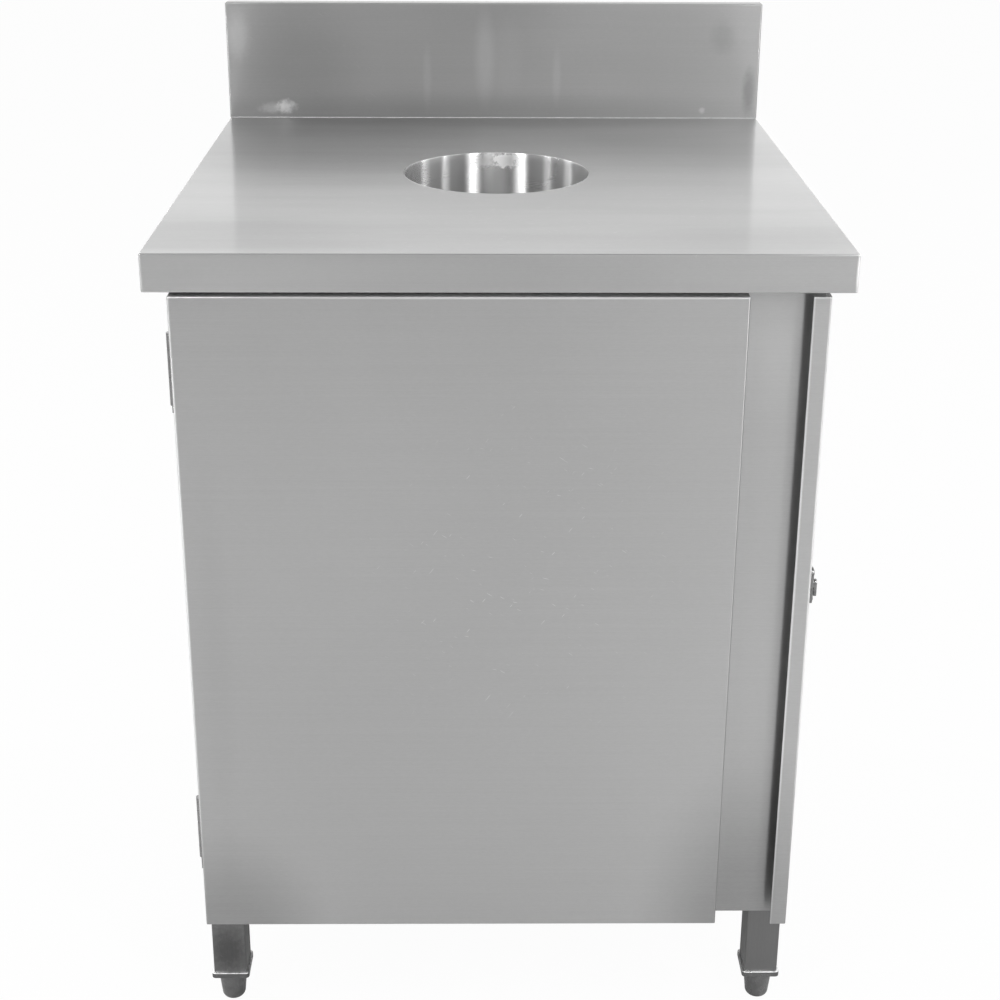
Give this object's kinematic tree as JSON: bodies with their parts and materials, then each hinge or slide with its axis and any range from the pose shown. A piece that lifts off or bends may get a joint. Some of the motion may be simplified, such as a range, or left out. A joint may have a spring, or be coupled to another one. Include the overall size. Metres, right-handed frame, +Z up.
{
  "type": "waste bin cabinet",
  "caption": "Free-standing sheet steel waste cabinet with a round chute in its worktop, an upstand, one hinged door with a grip channel and a side latch, and legs with levelling feet.",
  "frame": {"origin": "on the floor, under the middle of the worktop", "axes": "+Z up, +X to the right of someone who faces the door, -Y out of the door's face"},
  "size_m": [0.7, 0.7, 1.067],
  "materials": {
    "steel_panel": "horizontal brushed stainless steel sheet",
    "steel_chute": "bright rolled stainless steel",
    "steel_frame": "dull stainless steel tube and folded channel",
    "steel_foot": "satin steel foot and insert",
    "hardware": "plated hinge, latch and screws",
    "bush": "black nylon",
    "rubber": "matte black rubber"
  },
  "bodies": {
    "cabinet": {"worktop": "steel_panel", "upstand": "steel_panel", "chute_collar": "steel_chute", "top_stiffener_left": "steel_frame", "top_stiffener_right": "steel_frame", "leg_front_left": "steel_frame", "leg_front_right": "steel_frame", "leg_rear_left": "steel_frame", "leg_rear_right": "steel_frame", "leg_insert_front_left": "steel_foot", "leg_insert_front_right": "steel_foot", "leg_insert_rear_left": "steel_foot", "leg_insert_rear_right": "steel_foot", "top_front_rail": "steel_frame", "top_rear_rail": "steel_frame", "bottom_shelf": "steel_panel", "shelf_stiffener": "steel_frame", "side_panel_left": "steel_panel", "side_panel_right": "steel_panel", "back_panel": "steel_panel", "door_bumpers": "rubber", "upper_hinge_frame_leaf": "hardware", "lower_hinge_frame_leaf": "hardware", "upper_hinge_pin": "hardware", "lower_hinge_pin": "hardware", "hinge_frame_screws": "hardware", "latch_strike_plate": "hardware"},
    "door": {"door_front_pan": "steel_panel", "door_inner_panel": "steel_panel", "door_grip_channel": "steel_panel", "door_stiffener": "steel_frame", "upper_hinge_door_leaf": "hardware", "lower_hinge_door_leaf": "hardware", "hinge_door_screws": "hardware", "latch_plate": "hardware", "latch_plate_screws": "hardware", "latch_bush": "bush"},
    "latch": {"latch_lever": "hardware", "latch_hook": "hardware", "latch_nut": "hardware"},
    "front_left_foot": {"foot_front_left": "steel_foot"},
    "front_right_foot": {"foot_front_right": "steel_foot"},
    "rear_left_foot": {"foot_rear_left": "steel_foot"},
    "rear_right_foot": {"foot_rear_right": "steel_foot"}
  },
  "joints": [
    {"name": "door_swing", "type": "hinge", "parent": "cabinet", "child": "door", "pos_m": [-0.33075, -0.3139, 0.5], "axis": [0, 0, -1], "range_deg": [0, 180]},
    {"name": "latch_turn", "type": "hinge", "parent": "door", "child": "latch", "pos_m": [0.327, -0.333, 0.556], "axis": [1, 0, 0], "range_deg": [0, 90]},
    {"name": "front_left_foot_height", "type": "slide", "parent": "cabinet", "child": "front_left_foot", "axis": [0, 0, -1], "range_m": [0, 0.02]},
    {"name": "front_right_foot_height", "type": "slide", "parent": "cabinet", "child": "front_right_foot", "axis": [0, 0, -1], "range_m": [0, 0.02]},
    {"name": "rear_left_foot_height", "type": "slide", "parent": "cabinet", "child": "rear_left_foot", "axis": [0, 0, -1], "range_m": [0, 0.02]},
    {"name": "rear_right_foot_height", "type": "slide", "parent": "cabinet", "child": "rear_right_foot", "axis": [0, 0, -1], "range_m": [0, 0.02]}
  ]
}
